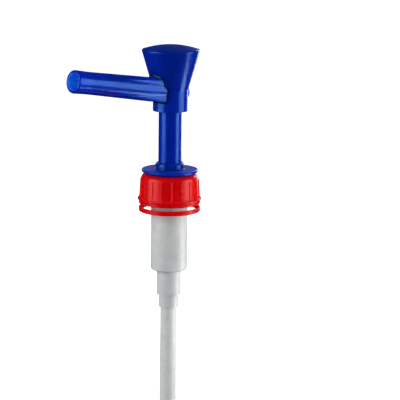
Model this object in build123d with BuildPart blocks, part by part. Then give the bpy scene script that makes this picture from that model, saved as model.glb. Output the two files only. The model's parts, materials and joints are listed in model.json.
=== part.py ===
from build123d import *

import os
from math import ceil, cos, dist, pi, radians, sin, sqrt

# A hand pump that screws on the neck of a can. Pressing the flared head drives a piston down its
# barrel against a spring, and the liquid leaves through the stem and the spout.
# Millimetres. +Z is up along the pump's axis, the origin is at the centre of the plane where the
# gasket meets the neck, and the spout points along -X.

# Clearances
running_clearance = 0.05
press_clearance = 0.02
turning_clearance = 0.1
stop_gap = 0.2
seat_gap = 0.1
overrun = 5.0

# Gasket on the neck
gasket_thickness = 2.0
gasket_edge_slip = 0.3
gasket_slip = 0.3

# Barrel
bore_radius = 14.5
barrel_wall = 1.5
flange_thickness = 2.2
flange_slip = 0.3
snap_bead = 0.3
floor_thickness = 2.5
floor_round = 1.8
valve_bore_radius = 8.5
valve_housing_wall = 2.0
vent_radius = 0.8
vent_depth = 4.5

# Screw cap
cap_roof = 1.9
cap_top_wall = 1.9
cap_low_wall = 3.0
cap_shoulder_round = 4.5
cap_shoulder_share = 0.8
cap_drop = 19.65
cap_edge_round = 0.4
thread_crest_radius = 21.5
thread_depth = 1.2
thread_pitch = 4.0
thread_turns = 2.0
thread_start_depth = 3.6
thread_crest_width = 1.0
thread_root_width = 2.4
thread_bite = 0.4
skirt_bore_step = 1.3
skirt_bore_height = 5.2
skirt_bore_slope = 1.4
skirt_wall = 2.5
cap_ring_proud = 1.1
cap_ring_height = 2.0
cap_ring_above_edge = 3.0
cap_ring_round = 0.8
rib_count = 18
rib_phase = 14.5
rib_width = 1.1
rib_proud = 0.65
rib_height = 16.2

# Tamper ring
tamper_gap = 3.1
tamper_height = 3.75
tamper_outer_radius = 26.6
tamper_wall = 2.4
tamper_round = 0.5
tamper_bead = 1.0
tamper_bead_height = 1.4
tab_count = 2
tab_phase = 162.0
tab_width = 4.0
tab_thickness = 1.0

# Collar
disc_gap = 1.4
disc_thickness = 2.6
disc_radius = 24.4
disc_round = 1.1
disc_round_share = 0.45
boss_wall = 1.23
boss_height = 5.8
boss_shoulder_round = 2.0
boss_shoulder_round_share = 0.9
boss_foot_round = 0.6
collar_lip = 1.4
collar_bore_slip = 0.3
collar_skirt_wall = 2.2
collar_seal_thickness = 0.8
collar_seal_inset = 0.2
cap_hole_slip = 0.4

# Stem, and what guides it
stem_radius = 10.0
stem_bore_radius = 6.5
stem_shown = 44.4
stem_top_step = 1.0
stem_shoulder_depth = 2.6
stem_socket_depth = 27.6
piston_pin_radius = 7.95
port_radius = 6.0
bush_wall = 1.2
bush_depth = 1.5
wiper_height = 3.0
wiper_body = 0.55
wiper_lip_height = 0.9

# Piston
piston_length = 12.0
piston_skirt_gap = 0.3
piston_groove_depth = 2.3
piston_groove_height = 5.0
piston_groove_drop = 3.6
piston_round = 0.6
seal_lip = 0.9
seal_notch = 2.6
washer_thickness = 1.0
washer_bore_slip = 0.4
washer_slip = 1.3

# Return spring
spring_wire_radius = 0.9
spring_turns = 9
spring_end_pitch = 2.5
spring_length = 61.4
spring_ramp_turns = 0.5
spring_slip = 0.05

# Discharge valve in the stem
discharge_ball_radius = 4.5
discharge_hole_radius = 2.8
discharge_seat_depth = 2.0
discharge_plug_length = 6.0
discharge_flange_step = 1.45
discharge_flange_thickness = 2.2
discharge_lift = 3.0
discharge_cage_height = 4.0
discharge_cage_wall = 1.0
discharge_bar_width = 1.6

# Foot valve and dip tube
inlet_ball_radius = 5.5
inlet_hole_radius = 3.2
inlet_seat_depth = 2.0
inlet_lift = 3.5
inlet_cage_depth = 3.0
inlet_cage_slip = 1.15
inlet_cage_flange_thickness = 1.0
inlet_cage_wall = 1.4
inlet_bar_width = 2.0
inlet_bar_height = 2.0
foot_plug_length = 7.6
foot_flange_thickness = 2.0
foot_sleeve_length = 11.4
foot_sleeve_wall = 1.6
foot_web = 2.4
tube_outer_radius = 7.0
tube_wall = 1.5
tube_reach = 230.0
tube_cut_angle = 30.0

# Head and lid
socket_radius = 15.05
socket_height = 18.5
socket_round = 0.35
cone_height = 34.4
rim_radius = 25.3
rim_round = 1.5
head_wall = 2.4
head_floor = 3.1
sleeve_wall = 3.4
sleeve_roof = 2.8
spout_socket_wall = 2.1
lid_margin = 2.15
lid_rebate = 2.0
lid_height = 3.7
lid_thickness = 1.8
lid_ring_wall = 1.5
lid_ring_depth = 4.0
lid_ring_slip = 0.25

# Spout and the plug behind it
spout_rise = 16.6
spout_angle = 8.5
spout_length = 103.7
spout_seat_wall = 1.8
spout_port_step = 0.4
spout_root_radius = 10.2
spout_root_end = 24.0
spout_waist_radius = 9.2
spout_flare_length = 14.2
spout_lip_radius = 9.65
spout_lip_round = 1.6
spout_lip_round_share = 0.62
spout_mouth_round = 1.1
spout_mouth_round_share = 0.35
spout_bore_radius = 6.4
block_start = 8.0
block_half_width = 9.6
block_half_height = 10.0
block_end = 70.0
block_end_half_width = 6.6
block_end_half_height = 6.9
block_round = 2.0
block_round_share = 0.28
block_cover = 0.8
plug_radius = 3.0
plug_head_radius = 5.4
plug_head_height = 3.4
plug_head_round = 0.7
plug_sink = 1.05
plug_shank_length = 4.0

# Heights, from the gasket up and down
flange_top = gasket_thickness + flange_thickness
roof_bottom = flange_top + turning_clearance
cap_top = roof_bottom + cap_roof
disc_bottom = cap_top + disc_gap
disc_top = disc_bottom + disc_thickness
boss_top = disc_top + boss_height
socket_bottom = boss_top + stem_shown
cone_bottom = socket_bottom + socket_height
rim_top = cone_bottom + cone_height
lid_top = rim_top + lid_height
barrel_top = disc_bottom - collar_seal_thickness
collar_skirt_bottom = flange_top + turning_clearance
wiper_top = boss_top - collar_lip
wiper_bottom = wiper_top - wiper_height
piston_top = -bush_depth - stop_gap
piston_bottom = piston_top - piston_length
spring_top = piston_bottom - washer_thickness
floor_top = spring_top - spring_length
floor_bottom = floor_top - floor_thickness
stem_shoulder = piston_top + turning_clearance
stem_foot = piston_bottom - stop_gap
stem_step = socket_bottom + stem_shoulder_depth
stem_top = socket_bottom + stem_socket_depth

# Valve heights: each seat is a cone of 45 degrees, so a ball's centre lies root two radii above its apex
root_two = sqrt(2)
discharge_ball_reach = (discharge_ball_radius + seat_gap) * root_two - discharge_hole_radius
discharge_seat_top = stem_foot + discharge_plug_length
discharge_hole_top = discharge_seat_top - discharge_seat_depth
discharge_ball_height = discharge_hole_top + discharge_ball_reach
discharge_cage_bottom = discharge_ball_height + discharge_ball_radius + discharge_lift + stop_gap
inlet_ball_reach = (inlet_ball_radius + seat_gap) * root_two - inlet_hole_radius
inlet_cage_bottom = floor_top - inlet_cage_depth
inlet_ball_height = inlet_cage_bottom - stop_gap - inlet_lift - inlet_ball_radius
inlet_hole_top = inlet_ball_height - inlet_ball_reach
inlet_seat_top = inlet_hole_top + inlet_seat_depth
housing_bottom = inlet_seat_top - foot_plug_length
foot_flange_bottom = housing_bottom - foot_flange_thickness
foot_sleeve_bottom = foot_flange_bottom - foot_sleeve_length
tube_socket_top = inlet_hole_top - foot_web

# Radii
barrel_radius = bore_radius + barrel_wall
collar_skirt_bore = barrel_radius + press_clearance
collar_skirt_radius = collar_skirt_bore + collar_skirt_wall
cap_hole_radius = collar_skirt_radius + cap_hole_slip
bush_bore = stem_radius + running_clearance
bush_sleeve_radius = bush_bore + bush_wall
collar_counterbore = bush_sleeve_radius + press_clearance
housing_radius = valve_bore_radius + valve_housing_wall
foot_plug_radius = valve_bore_radius - press_clearance
tube_bore_radius = tube_outer_radius - tube_wall
tube_socket_radius = tube_outer_radius + press_clearance
piston_radius = bore_radius - piston_skirt_gap
piston_groove_radius = piston_radius - piston_groove_depth
stem_top_radius = stem_radius - stem_top_step
boss_radius = collar_counterbore + boss_wall
thread_root_radius = thread_crest_radius + thread_depth
flange_radius = thread_crest_radius - flange_slip
gasket_outer_radius = thread_crest_radius - gasket_edge_slip
cap_top_radius = thread_root_radius + cap_top_wall
cap_low_radius = thread_root_radius + cap_low_wall
skirt_bore_radius = thread_root_radius + skirt_bore_step
cap_skirt_radius = skirt_bore_radius + skirt_wall
cap_ring_radius = cap_skirt_radius + cap_ring_proud
tamper_inner_radius = tamper_outer_radius - tamper_wall
discharge_flange_radius = piston_pin_radius + discharge_flange_step
washer_inner_radius = discharge_flange_radius + washer_bore_slip
washer_outer_radius = bore_radius - washer_slip
spring_radius = (discharge_flange_radius + bore_radius) / 2
lid_radius = rim_radius - lid_margin

# Places along the spout, from the pump's axis out
spout_inner_end = stem_top_radius + spout_seat_wall
spout_waist_end = spout_length - spout_flare_length
spout_mouth_width = spout_lip_radius - spout_bore_radius
plug_seat = socket_radius - plug_sink
plug_inner_end = plug_seat - plug_shank_length

# The spout's axis crosses the pump's axis and rises towards the tip
spout_direction = Vector(-cos(radians(spout_angle)), 0, sin(radians(spout_angle)))
spout_origin = Vector(0, 0, socket_bottom + spout_rise)
spout_axis = Axis(spout_origin, spout_direction)
spout_side = Plane(spout_origin, x_dir=spout_direction, z_dir=(0, 1, 0))


def outline(points, rounds=(), plane=Plane.XZ):
    """A closed outline of (radius, height) points, with the corners named in rounds made round."""
    with BuildSketch(plane) as section:
        with BuildLine():
            Polyline(*points, close=True)
        make_face()
        for corner, radius in rounds:
            fillet(section.vertices().sort_by_distance(corner)[0], radius)
    return section.sketch


def across_spout(distance):
    """The plane square to the spout's axis, at a distance from the pump's axis."""
    return Plane(spout_origin + spout_direction * distance, x_dir=(0, 1, 0), z_dir=spout_direction)


def helix_point(turn, radius, height):
    """A point on a helix about the pump's axis."""
    angle = 2 * pi * turn
    return Vector(radius * cos(angle), radius * sin(angle), height)


def helix_tangent(turn, radius, slope):
    """The direction of a helix that climbs by slope in a turn."""
    angle = 2 * pi * turn
    return Vector(-2 * pi * radius * sin(angle), 2 * pi * radius * cos(angle), slope).normalized()


def biarc(start, start_direction, end, end_direction):
    """Two arcs, tangent to each other, from one point and direction to another."""
    chord = end - start
    along = chord.dot(start_direction + end_direction)
    spread = 2 * (1 - start_direction.dot(end_direction))
    reach = (sqrt(along**2 + spread * chord.dot(chord)) - along) / spread
    first = start + start_direction * reach
    second = end - end_direction * reach
    middle = (first + second) * 0.5
    TangentArc(start, middle, tangent=start_direction)
    TangentArc(middle, end, tangent=second - first)


os.makedirs("parts", exist_ok=True)

# Gasket between the barrel's flange and the neck
with BuildPart() as neck_gasket:
    gasket_inner = barrel_radius + gasket_slip
    revolve(
        outline(
            [
                (gasket_inner, 0),
                (gasket_outer_radius, 0),
                (gasket_outer_radius, gasket_thickness),
                (gasket_inner, gasket_thickness),
            ]
        ),
        axis=Axis.Z,
    )
neck_gasket.part.label = "neck_gasket"
export_step(neck_gasket.part, "parts/neck_gasket.step")

# Barrel: a cylinder with a flange, a snap bead for the collar and the housing of the foot valve
with BuildPart() as barrel:
    bead_height = (barrel_top + collar_skirt_bottom) / 2
    revolve(
        outline(
            [
                (bore_radius, barrel_top),
                (barrel_radius, barrel_top),
                (barrel_radius, bead_height + snap_bead),
                (barrel_radius + snap_bead, bead_height),
                (barrel_radius, bead_height - snap_bead),
                (barrel_radius, flange_top),
                (flange_radius, flange_top),
                (flange_radius, gasket_thickness),
                (barrel_radius, gasket_thickness),
                (barrel_radius, floor_bottom),
                (housing_radius, floor_bottom),
                (housing_radius, housing_bottom),
                (valve_bore_radius, housing_bottom),
                (valve_bore_radius, floor_top),
                (bore_radius, floor_top),
            ],
            [((barrel_radius, floor_bottom), floor_round)],
        ),
        axis=Axis.Z,
    )
    with BuildSketch(Plane((0, 0, -vent_depth), z_dir=(1, 0, 0))):
        Circle(vent_radius)
    extrude(amount=barrel_radius + overrun, mode=Mode.SUBTRACT)
barrel.part.label = "barrel"
export_step(barrel.part, "parts/barrel.step")

# Screw cap: a flared shell with ribs, a flange ring and a thread inside
cap_bottom = -cap_drop
cap_ring_bottom = cap_bottom + cap_ring_above_edge
cap_ring_top = cap_ring_bottom + cap_ring_height
skirt_bore_top = cap_bottom + skirt_bore_height
with BuildPart() as thread_ridge:
    thread_start = -thread_start_depth - thread_turns * thread_pitch
    with BuildLine() as thread_path:
        quarters = ceil(4 * thread_turns)
        for quarter in range(quarters):
            ends = [quarter / 4, (quarter + 1) / 4]
            points = [helix_point(t, thread_root_radius, thread_start + t * thread_pitch) for t in ends]
            tangents = [helix_tangent(t, thread_root_radius, thread_pitch) for t in ends]
            biarc(points[0], tangents[0], points[1], tangents[1])
    ridge_height = thread_root_radius - thread_crest_radius
    section_plane = Plane(
        helix_point(0, thread_root_radius, thread_start),
        x_dir=(1, 0, 0),
        z_dir=helix_tangent(0, thread_root_radius, thread_pitch),
    )
    with BuildSketch(section_plane):
        with BuildLine():
            Polyline(
                (thread_bite, -thread_root_width / 2),
                (0, -thread_root_width / 2),
                (-ridge_height, -thread_crest_width / 2),
                (-ridge_height, thread_crest_width / 2),
                (0, thread_root_width / 2),
                (thread_bite, thread_root_width / 2),
                close=True,
            )
        make_face()
    sweep(path=thread_path.line, normal=(0, 0, 1))

with BuildPart() as screw_cap:
    shoulder_round = min(cap_shoulder_round, cap_shoulder_share * (cap_top_radius - cap_hole_radius))
    revolve(
        outline(
            [
                (cap_hole_radius, roof_bottom),
                (cap_hole_radius, cap_top),
                (cap_top_radius, cap_top),
                (cap_low_radius, cap_ring_top),
                (cap_ring_radius, cap_ring_top),
                (cap_ring_radius, cap_ring_bottom),
                (cap_skirt_radius, cap_ring_bottom),
                (cap_skirt_radius, cap_bottom),
                (skirt_bore_radius, cap_bottom),
                (skirt_bore_radius, skirt_bore_top),
                (thread_root_radius, skirt_bore_top + skirt_bore_slope),
                (thread_root_radius, roof_bottom),
            ],
            [
                ((cap_hole_radius, cap_top), cap_edge_round),
                ((cap_top_radius, cap_top), shoulder_round),
                ((cap_ring_radius, cap_ring_top), cap_ring_round),
                ((cap_ring_radius, cap_ring_bottom), cap_ring_round),
                ((cap_skirt_radius, cap_bottom), cap_edge_round),
            ],
        ),
        axis=Axis.Z,
    )
    rib_root = thread_root_radius + thread_bite
    rib_flare = (cap_low_radius - cap_top_radius) / (cap_top - cap_ring_top) * rib_height
    rib_outline = outline(
        [
            (rib_root, cap_ring_top - cap_ring_height / 2),
            (cap_low_radius + rib_proud, cap_ring_top - cap_ring_height / 2),
            (cap_low_radius + rib_proud, cap_ring_top),
            (cap_low_radius + rib_proud - rib_flare, cap_ring_top + rib_height),
            (rib_root, cap_ring_top + rib_height),
        ],
        [((cap_low_radius + rib_proud - rib_flare, cap_ring_top + rib_height), rib_proud)],
    )
    with PolarLocations(0, rib_count, start_angle=rib_phase):
        add(extrude(rib_outline, amount=rib_width / 2, both=True, mode=Mode.PRIVATE))
    add(thread_ridge.part)
screw_cap.part.label = "screw_cap"
export_step(screw_cap.part, "parts/screw_cap.step")

# Tamper ring: hung under the cap on narrow tabs, with a bead that catches under the neck's shoulder
tamper_top = cap_bottom - tamper_gap
tamper_bottom = tamper_top - tamper_height
with BuildPart() as tamper_ring:
    revolve(
        outline(
            [
                (tamper_inner_radius, tamper_top),
                (tamper_outer_radius, tamper_top),
                (tamper_outer_radius, tamper_bottom),
                (tamper_inner_radius, tamper_bottom),
                (tamper_inner_radius - tamper_bead, tamper_bottom + tamper_bead_height / 2),
                (tamper_inner_radius - tamper_bead, tamper_bottom + tamper_bead_height),
                (tamper_inner_radius, tamper_bottom + tamper_bead_height + tamper_bead),
            ],
            [
                ((tamper_outer_radius, tamper_top), tamper_round),
                ((tamper_outer_radius, tamper_bottom), tamper_round),
            ],
        ),
        axis=Axis.Z,
    )
    wall_middles = [(skirt_bore_radius + cap_skirt_radius) / 2, tamper_outer_radius - tamper_wall / 2]
    tab_inner = min(wall_middles) - tab_thickness / 2
    tab_outer = max(wall_middles) + tab_thickness / 2
    with BuildSketch(Plane.XY.offset(tamper_top)):
        with PolarLocations((tab_inner + tab_outer) / 2, tab_count, start_angle=tab_phase):
            Rectangle(tab_outer - tab_inner, tab_width)
    extrude(amount=tamper_gap)
tamper_ring.part.label = "tamper_ring"
export_step(tamper_ring.part, "parts/tamper_ring.step")

# Collar: the disc and boss that close the barrel, snapped over the barrel's bead
with BuildPart() as collar:
    collar_hole = stem_radius + collar_bore_slip
    boss_edge_round = min(boss_shoulder_round, boss_shoulder_round_share * (boss_radius - collar_hole))
    disc_edge_round = min(disc_round, disc_round_share * disc_thickness)
    revolve(
        outline(
            [
                (collar_hole, wiper_top),
                (collar_hole, boss_top),
                (boss_radius, boss_top),
                (boss_radius, disc_top),
                (disc_radius, disc_top),
                (disc_radius, disc_bottom),
                (collar_skirt_radius, disc_bottom),
                (collar_skirt_radius, collar_skirt_bottom),
                (collar_skirt_bore, collar_skirt_bottom),
                (collar_skirt_bore, bead_height - snap_bead),
                (collar_skirt_bore + snap_bead, bead_height),
                (collar_skirt_bore, bead_height + snap_bead),
                (collar_skirt_bore, disc_bottom),
                (collar_counterbore, disc_bottom),
                (collar_counterbore, wiper_top),
            ],
            [
                ((boss_radius, boss_top), boss_edge_round),
                ((boss_radius, disc_top), boss_foot_round),
                ((disc_radius, disc_top), disc_edge_round),
                ((disc_radius, disc_bottom), disc_edge_round),
            ],
        ),
        axis=Axis.Z,
    )
collar.part.label = "collar"
export_step(collar.part, "parts/collar.step")

# Flat ring between the barrel's top edge and the collar
with BuildPart() as collar_seal:
    revolve(
        outline(
            [
                (bore_radius + collar_seal_inset, barrel_top),
                (barrel_radius, barrel_top),
                (barrel_radius, disc_bottom),
                (bore_radius + collar_seal_inset, disc_bottom),
            ]
        ),
        axis=Axis.Z,
    )
collar_seal.part.label = "collar_seal"
export_step(collar_seal.part, "parts/collar_seal.step")

# Bush that guides the stem, with a foot that stops the piston
with BuildPart() as guide_bush:
    bush_foot_radius = bore_radius - press_clearance
    revolve(
        outline(
            [
                (bush_bore, -bush_depth),
                (bush_foot_radius, -bush_depth),
                (bush_foot_radius, disc_bottom),
                (bush_sleeve_radius, disc_bottom),
                (bush_sleeve_radius, wiper_bottom),
                (bush_bore, wiper_bottom),
            ]
        ),
        axis=Axis.Z,
    )
guide_bush.part.label = "guide_bush"
export_step(guide_bush.part, "parts/guide_bush.step")

# Wiper: a rubber ring whose upper lip runs on the stem
with BuildPart() as wiper_seal:
    wiper_bore = bush_bore + wiper_body
    revolve(
        outline(
            [
                (bush_bore, wiper_bottom),
                (bush_sleeve_radius, wiper_bottom),
                (bush_sleeve_radius, wiper_top),
                (bush_bore, wiper_top),
                (bush_bore, wiper_top - wiper_lip_height / 2),
                (wiper_bore, wiper_top - wiper_lip_height),
                (wiper_bore, wiper_bottom + wiper_lip_height),
                (bush_bore, wiper_bottom + wiper_lip_height / 2),
            ]
        ),
        axis=Axis.Z,
    )
wiper_seal.part.label = "wiper_seal"
export_step(wiper_seal.part, "parts/wiper_seal.step")

# Stem: a tube with a pin for the piston, a plug end for the head and a side port for the spout
with BuildPart() as stem:
    revolve(
        outline(
            [
                (stem_bore_radius, stem_foot),
                (piston_pin_radius, stem_foot),
                (piston_pin_radius, stem_shoulder),
                (stem_radius, stem_shoulder),
                (stem_radius, stem_step),
                (stem_top_radius, stem_step),
                (stem_top_radius, stem_top),
                (stem_bore_radius, stem_top),
            ]
        ),
        axis=Axis.Z,
    )
    with BuildSketch(across_spout(0)):
        Circle(port_radius)
    extrude(amount=stem_radius + overrun, mode=Mode.SUBTRACT)
stem.part.label = "stem"
export_step(stem.part, "parts/stem.step")

# Piston: runs on the stem's pin, with a groove for its seal
groove_top = piston_top - piston_groove_drop
groove_bottom = groove_top - piston_groove_height
with BuildPart() as piston:
    piston_bore = piston_pin_radius + running_clearance
    revolve(
        outline(
            [
                (piston_bore, piston_bottom),
                (piston_radius, piston_bottom),
                (piston_radius, groove_bottom),
                (piston_groove_radius, groove_bottom),
                (piston_groove_radius, groove_top),
                (piston_radius, groove_top),
                (piston_radius, piston_top),
                (piston_bore, piston_top),
            ],
            [
                ((piston_radius, piston_bottom), piston_round),
                ((piston_radius, piston_top), piston_round),
            ],
        ),
        axis=Axis.Z,
    )
piston.part.label = "piston"
export_step(piston.part, "parts/piston.step")

# Piston seal: a ring with a notch below that spreads its lip against the bore
with BuildPart() as piston_seal:
    seal_radius = bore_radius - running_clearance
    seal_bore = piston_groove_radius + press_clearance
    revolve(
        outline(
            [
                (seal_bore, groove_bottom),
                (seal_bore + seal_lip, groove_bottom),
                ((seal_bore + piston_radius) / 2, groove_bottom + seal_notch),
                (piston_radius - seal_lip, groove_bottom),
                (seal_radius, groove_bottom),
                (seal_radius, groove_bottom + seal_lip),
                (piston_radius, groove_bottom + seal_notch),
                (piston_radius, groove_top),
                (seal_bore, groove_top),
            ]
        ),
        axis=Axis.Z,
    )
piston_seal.part.label = "piston_seal"
export_step(piston_seal.part, "parts/piston_seal.step")

# Washer that takes the spring's push to the piston
with BuildPart() as thrust_washer:
    with BuildSketch(Plane.XY.offset(spring_top)):
        Circle(washer_outer_radius)
        Circle(washer_inner_radius, mode=Mode.SUBTRACT)
    extrude(amount=washer_thickness)
thrust_washer.part.label = "thrust_washer"
export_step(thrust_washer.part, "parts/thrust_washer.step")

# Return spring: one wire, with a close turn at each end and open turns between
spring_rise = spring_length - 2 * (spring_wire_radius + spring_slip)
spring_open_pitch = (spring_rise - 2 * spring_end_pitch) / (spring_turns - 2)


def ramp_turns_passed(turn, middle):
    """Turns passed since the pitch changed, when it changes smoothly about a middle turn."""
    share = min(max((turn - middle) / spring_ramp_turns + 0.5, 0), 1)
    beyond = max(turn - middle - spring_ramp_turns / 2, 0)
    return spring_ramp_turns * (share**3 - share**4 / 2) + beyond


def ramp_share(turn, middle):
    """How far the pitch has changed, from 0 to 1."""
    share = min(max((turn - middle) / spring_ramp_turns + 0.5, 0), 1)
    return 3 * share**2 - 2 * share**3


def spring_point(turn):
    """A point on the wire's centre line."""
    open_turns = ramp_turns_passed(turn, 1) - ramp_turns_passed(turn, spring_turns - 1)
    climb = spring_end_pitch * turn + (spring_open_pitch - spring_end_pitch) * open_turns
    return helix_point(turn, spring_radius, floor_top + spring_wire_radius + spring_slip + climb)


def spring_tangent(turn):
    """The wire's direction."""
    open_share = ramp_share(turn, 1) - ramp_share(turn, spring_turns - 1)
    slope = spring_end_pitch + (spring_open_pitch - spring_end_pitch) * open_share
    return helix_tangent(turn, spring_radius, slope)


with BuildPart() as return_spring:
    with BuildLine() as spring_path:
        for quarter in range(4 * spring_turns):
            start_turn = quarter / 4
            end_turn = (quarter + 1) / 4
            biarc(
                spring_point(start_turn),
                spring_tangent(start_turn),
                spring_point(end_turn),
                spring_tangent(end_turn),
            )
    with BuildSketch(Plane(spring_point(0), z_dir=spring_tangent(0))):
        Circle(spring_wire_radius)
    sweep(path=spring_path.line)
return_spring.part.label = "return_spring"
export_step(return_spring.part, "parts/return_spring.step")

steps_per_turn = 48
wire_points = [spring_point(step / steps_per_turn) for step in range(spring_turns * steps_per_turn + 1)]
wire_places = [(point.X, point.Y, point.Z) for point in wire_points]
least_distance = min(
    dist(first, second)
    for index, first in enumerate(wire_places)
    for second in wire_places[index + steps_per_turn // 2 :]
)
print(f"return_spring: least gap to itself {least_distance - 2 * spring_wire_radius:.2f} mm")

# Discharge seat: plugs the stem's foot and holds the piston on its pin
with BuildPart() as discharge_seat:
    discharge_plug_radius = stem_bore_radius - press_clearance
    discharge_bottom = stem_foot - discharge_flange_thickness
    revolve(
        outline(
            [
                (discharge_hole_radius, discharge_bottom),
                (discharge_flange_radius, discharge_bottom),
                (discharge_flange_radius, stem_foot),
                (discharge_plug_radius, stem_foot),
                (discharge_plug_radius, discharge_seat_top),
                (discharge_hole_radius + discharge_seat_depth, discharge_seat_top),
                (discharge_hole_radius, discharge_hole_top),
            ]
        ),
        axis=Axis.Z,
    )
discharge_seat.part.label = "discharge_seat"
export_step(discharge_seat.part, "parts/discharge_seat.step")

# Discharge ball, resting on its seat
with BuildPart() as discharge_ball:
    with Locations((0, 0, discharge_ball_height)):
        Sphere(discharge_ball_radius)
discharge_ball.part.label = "discharge_ball"
export_step(discharge_ball.part, "parts/discharge_ball.step")

# Discharge cage: a ring with a cross that stops the ball
with BuildPart() as discharge_cage:
    discharge_cage_radius = stem_bore_radius - press_clearance
    discharge_cage_bore = discharge_cage_radius - discharge_cage_wall
    with BuildSketch(Plane.XY.offset(discharge_cage_bottom)):
        Circle(discharge_cage_radius)
        Circle(discharge_cage_bore, mode=Mode.SUBTRACT)
        with PolarLocations(0, 2, angular_range=180):
            Rectangle(discharge_cage_radius + discharge_cage_bore, discharge_bar_width)
    extrude(amount=discharge_cage_height)
discharge_cage.part.label = "discharge_cage"
export_step(discharge_cage.part, "parts/discharge_cage.step")

# Inlet cage: a flanged ring on the barrel's floor, with a cross that stops the inlet ball
with BuildPart() as inlet_cage:
    inlet_cage_bore = foot_plug_radius - inlet_cage_wall
    inlet_cage_rim = spring_radius - spring_wire_radius - inlet_cage_slip
    revolve(
        outline(
            [
                (inlet_cage_bore, inlet_cage_bottom),
                (foot_plug_radius, inlet_cage_bottom),
                (foot_plug_radius, floor_top),
                (inlet_cage_rim, floor_top),
                (inlet_cage_rim, floor_top + inlet_cage_flange_thickness),
                (inlet_cage_bore, floor_top + inlet_cage_flange_thickness),
            ]
        ),
        axis=Axis.Z,
    )
    with BuildSketch(Plane.XY.offset(inlet_cage_bottom)):
        with PolarLocations(0, 2, angular_range=180):
            Rectangle(inlet_cage_bore + foot_plug_radius, inlet_bar_width)
    extrude(amount=inlet_bar_height)
inlet_cage.part.label = "inlet_cage"
export_step(inlet_cage.part, "parts/inlet_cage.step")

# Inlet ball, resting on its seat
with BuildPart() as inlet_ball:
    with Locations((0, 0, inlet_ball_height)):
        Sphere(inlet_ball_radius)
inlet_ball.part.label = "inlet_ball"
export_step(inlet_ball.part, "parts/inlet_ball.step")

# Foot valve: the inlet seat, pressed into the barrel's foot, with a sleeve for the dip tube
with BuildPart() as foot_valve:
    foot_sleeve_radius = tube_socket_radius + foot_sleeve_wall
    revolve(
        outline(
            [
                (inlet_hole_radius, inlet_hole_top),
                (inlet_hole_radius + inlet_seat_depth, inlet_seat_top),
                (foot_plug_radius, inlet_seat_top),
                (foot_plug_radius, housing_bottom),
                (housing_radius, housing_bottom),
                (housing_radius, foot_flange_bottom),
                (foot_sleeve_radius, foot_flange_bottom),
                (foot_sleeve_radius, foot_sleeve_bottom),
                (tube_socket_radius, foot_sleeve_bottom),
                (tube_socket_radius, tube_socket_top),
                (inlet_hole_radius, tube_socket_top),
            ]
        ),
        axis=Axis.Z,
    )
foot_valve.part.label = "foot_valve"
export_step(foot_valve.part, "parts/foot_valve.step")

# Dip tube, cut slanting at its lower end
with BuildPart() as dip_tube:
    with BuildSketch(Plane.XY.offset(tube_socket_top)):
        Circle(tube_outer_radius)
        Circle(tube_bore_radius, mode=Mode.SUBTRACT)
    extrude(amount=-(tube_reach + tube_socket_top))
    cut_direction = (sin(radians(tube_cut_angle)), 0, cos(radians(tube_cut_angle)))
    cut_rise = tube_outer_radius * sin(radians(tube_cut_angle)) / cos(radians(tube_cut_angle))
    split(bisect_by=Plane((0, 0, cut_rise - tube_reach), z_dir=cut_direction), keep=Keep.TOP)
dip_tube.part.label = "dip_tube"
export_step(dip_tube.part, "parts/dip_tube.step")

# Hollow of the head: open at the top, round the stem's sleeve and the spout's socket
cone_slope = (rim_radius - socket_radius) / cone_height
cavity_bottom = cone_bottom + head_floor
shelf = rim_top - lid_rebate
rebate_radius = lid_radius + press_clearance
with BuildPart() as hollow:
    revolve(
        outline(
            [
                (0, cavity_bottom),
                (socket_radius + cone_slope * head_floor - head_wall, cavity_bottom),
                (rim_radius - cone_slope * lid_rebate - head_wall, shelf),
                (rebate_radius, shelf),
                (rebate_radius, rim_top + overrun),
                (0, rim_top + overrun),
            ]
        ),
        axis=Axis.Z,
    )
    with BuildSketch(Plane.XY.offset(socket_bottom)):
        Circle(stem_top_radius + sleeve_wall)
    extrude(amount=stem_socket_depth + sleeve_roof, mode=Mode.SUBTRACT)
    with BuildSketch(across_spout(0)):
        Circle(spout_root_radius + spout_socket_wall)
    extrude(amount=spout_root_end + overrun, mode=Mode.SUBTRACT)

# Head: a round socket that flares into a cone, bored for the stem, the spout and the rear plug
with BuildPart() as pump_head:
    revolve(
        outline(
            [
                (0, socket_bottom),
                (socket_radius, socket_bottom),
                (socket_radius, cone_bottom),
                (rim_radius, rim_top),
                (0, rim_top),
            ],
            [
                ((socket_radius, socket_bottom), socket_round),
                ((rim_radius, rim_top), rim_round),
            ],
        ),
        axis=Axis.Z,
    )
    add(hollow.part, mode=Mode.SUBTRACT)
    revolve(
        outline(
            [
                (0, socket_bottom - overrun),
                (stem_radius + press_clearance, socket_bottom - overrun),
                (stem_radius + press_clearance, stem_step),
                (stem_top_radius + press_clearance, stem_step),
                (stem_top_radius + press_clearance, stem_top),
                (0, stem_top),
            ]
        ),
        axis=Axis.Z,
        mode=Mode.SUBTRACT,
    )
    with BuildSketch(across_spout(0)):
        Circle(spout_bore_radius + spout_port_step)
    extrude(amount=spout_root_end, mode=Mode.SUBTRACT)
    with BuildSketch(across_spout(spout_inner_end)):
        Circle(spout_root_radius + press_clearance)
    extrude(amount=spout_root_end, mode=Mode.SUBTRACT)
    with BuildSketch(across_spout(0)):
        Circle(plug_radius)
    extrude(amount=-(plug_seat + overrun), mode=Mode.SUBTRACT)
    with BuildSketch(across_spout(-plug_seat)):
        Circle(plug_head_radius + press_clearance)
    extrude(amount=-overrun, mode=Mode.SUBTRACT)
pump_head.part.label = "pump_head"
export_step(pump_head.part, "parts/pump_head.step")

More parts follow.
